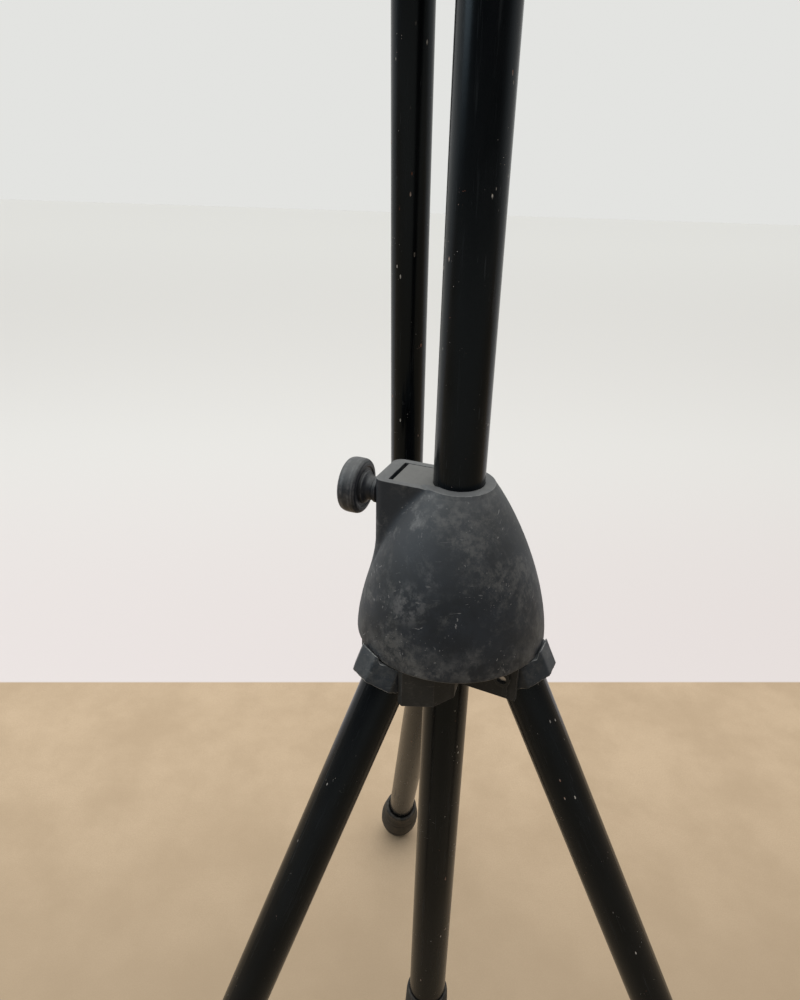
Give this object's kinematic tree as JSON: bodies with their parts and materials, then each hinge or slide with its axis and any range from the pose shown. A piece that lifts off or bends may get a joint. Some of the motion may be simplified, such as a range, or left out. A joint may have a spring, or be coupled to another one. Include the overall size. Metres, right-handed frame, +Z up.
{
  "type": "webcam on tripod",
  "caption": "Webcam on a floor stand: domed sliding hub with folding tube legs, clamp knob, telescoping post, side boom on a swivel clamp, and a tilting, panning webcam with a privacy shutter.",
  "frame": {"origin": "middle of the footprint, on the floor", "axes": "+Z up along the post, -Y towards the front, where the webcam looks; one leg points to the rear"},
  "size_m": [0.54, 0.517, 1.5723],
  "materials": {
    "hub_plastic": "matte, scuffed",
    "steel_pins": "plated",
    "clamp_plastic": "satin",
    "knob_plastic": "satin",
    "sleeve_plastic": "satin",
    "black_paint": "gloss",
    "foot_rubber": "matte",
    "chrome_tube": "polished",
    "light_plastic": "satin",
    "washer_fibre": "fibre",
    "cam_plastic": "fine texture",
    "brass_insert": "machined",
    "cam_gloss": "gloss",
    "lens": "coated",
    "board": "solder mask",
    "sensor": "gloss",
    "led": "clear"
  },
  "bodies": {
    "hub": {"hub_core": "hub_plastic", "hub_cover": "hub_plastic", "cover_screws": "steel_pins", "clamp_nut": "steel_pins", "hinge_pins": "steel_pins"},
    "right_leg": {"sleeve_right": "sleeve_plastic", "leg_right": "black_paint", "foot_right": "foot_rubber"},
    "rear_leg": {"sleeve_rear": "sleeve_plastic", "leg_rear": "black_paint", "foot_rear": "foot_rubber"},
    "left_leg": {"sleeve_left": "sleeve_plastic", "leg_left": "black_paint", "foot_left": "foot_rubber"},
    "shoe": {"clamp_shoe": "clamp_plastic"},
    "clamp_knob": {"clamp_knob": "knob_plastic", "clamp_screw": "steel_pins"},
    "post": {"post_outer": "black_paint", "post_foot": "foot_rubber", "clutch_body": "clamp_plastic", "clutch_collet": "light_plastic"},
    "clutch_ring": {"clutch_ring": "clamp_plastic"},
    "mast": {"post_inner": "chrome_tube", "inner_guide": "light_plastic", "swivel_bracket": "clamp_plastic", "swivel_washer": "washer_fibre", "swivel_bolt": "steel_pins"},
    "boom_head": {"boom_clamp": "clamp_plastic"},
    "swivel_knob": {"swivel_knob": "clamp_plastic"},
    "boom": {"boom_tube": "black_paint", "boom_cap": "foot_rubber", "tip_plug": "light_plastic", "tip_stud": "steel_pins", "tip_disc": "steel_pins", "cam_base": "cam_plastic", "cam_insert": "brass_insert", "cam_hinge_pin": "steel_pins"},
    "cam_neck": {"cam_neck": "cam_plastic"},
    "webcam": {"cam_rear": "cam_plastic", "cam_front": "cam_plastic", "cam_glass": "cam_gloss", "lens_ring": "cam_plastic", "lens_barrel": "cam_plastic", "lens_glass": "lens", "cam_board": "board", "cam_sensor": "sensor", "cam_port": "steel_pins", "cam_led": "led", "cam_screws": "steel_pins"},
    "shutter": {"cam_shutter": "cam_plastic"}
  },
  "joints": [
    {"name": "right_leg_fold", "type": "hinge", "parent": "hub", "child": "right_leg", "pos_m": [0.01496, -0.06483, 0.529], "axis": [0.342, 0.9397, 0], "range_deg": [0, 26.1]},
    {"name": "rear_leg_fold", "type": "hinge", "parent": "hub", "child": "rear_leg", "pos_m": [-0.03291, -0.00777, 0.529], "axis": [-0.9848, -0.1736, 0], "range_deg": [0, 26.1]},
    {"name": "left_leg_fold", "type": "hinge", "parent": "hub", "child": "left_leg", "pos_m": [-0.05839, -0.07776, 0.529], "axis": [0.6428, -0.766, 0], "range_deg": [0, 26.1]},
    {"name": "shoe_slide", "type": "slide", "parent": "hub", "child": "shoe", "axis": [-0.9563, 0.2924, 0], "range_m": [0, 0.00188]},
    {"name": "clamp_knob_turn", "type": "hinge", "parent": "shoe", "child": "clamp_knob", "pos_m": [-0.02545, -0.05012, 0.6243], "axis": [-0.9563, 0.2924, 0], "range_deg": [0, 540]},
    {"name": "hub_height", "type": "slide", "parent": "hub", "child": "post", "axis": [0, 0, 1], "range_m": [-0.05, 0.1]},
    {"name": "clutch_turn", "type": "hinge", "parent": "post", "child": "clutch_ring", "pos_m": [-0.02545, -0.05012, 0.945], "axis": [0, 0, 1], "range_deg": [0, 120]},
    {"name": "mast_height", "type": "slide", "parent": "post", "child": "mast", "axis": [0, 0, 1], "range_m": [-0.05, 0.25]},
    {"name": "boom_swivel", "type": "hinge", "parent": "mast", "child": "boom_head", "pos_m": [-0.02545, -0.05012, 1.263], "axis": [1, 0, 0], "range_deg": [0, 100]},
    {"name": "swivel_knob_turn", "type": "hinge", "parent": "mast", "child": "swivel_knob", "pos_m": [-0.02545, -0.05012, 1.263], "axis": [1, 0, 0], "range_deg": [0, 90]},
    {"name": "boom_slide", "type": "slide", "parent": "boom_head", "child": "boom", "axis": [0, -0.1564, 0.9877], "range_m": [-0.05, 0.15]},
    {"name": "cam_tilt", "type": "hinge", "parent": "boom", "child": "cam_neck", "pos_m": [-0.06225, -0.11299, 1.51932], "axis": [1, 0, 0], "range_deg": [-30, 30]},
    {"name": "cam_pan", "type": "hinge", "parent": "cam_neck", "child": "webcam", "pos_m": [-0.06225, -0.11299, 1.54032], "axis": [0, 0, 1], "range_deg": [-90, 90]},
    {"name": "shutter_slide", "type": "slide", "parent": "webcam", "child": "shutter", "axis": [1, 0, 0], "range_m": [-0.02, 0]}
  ],
  "couplings": [
    {"joint": "shoe_slide", "follows": "clamp_knob_turn", "m_per_rad": 0.00019894}
  ]
}
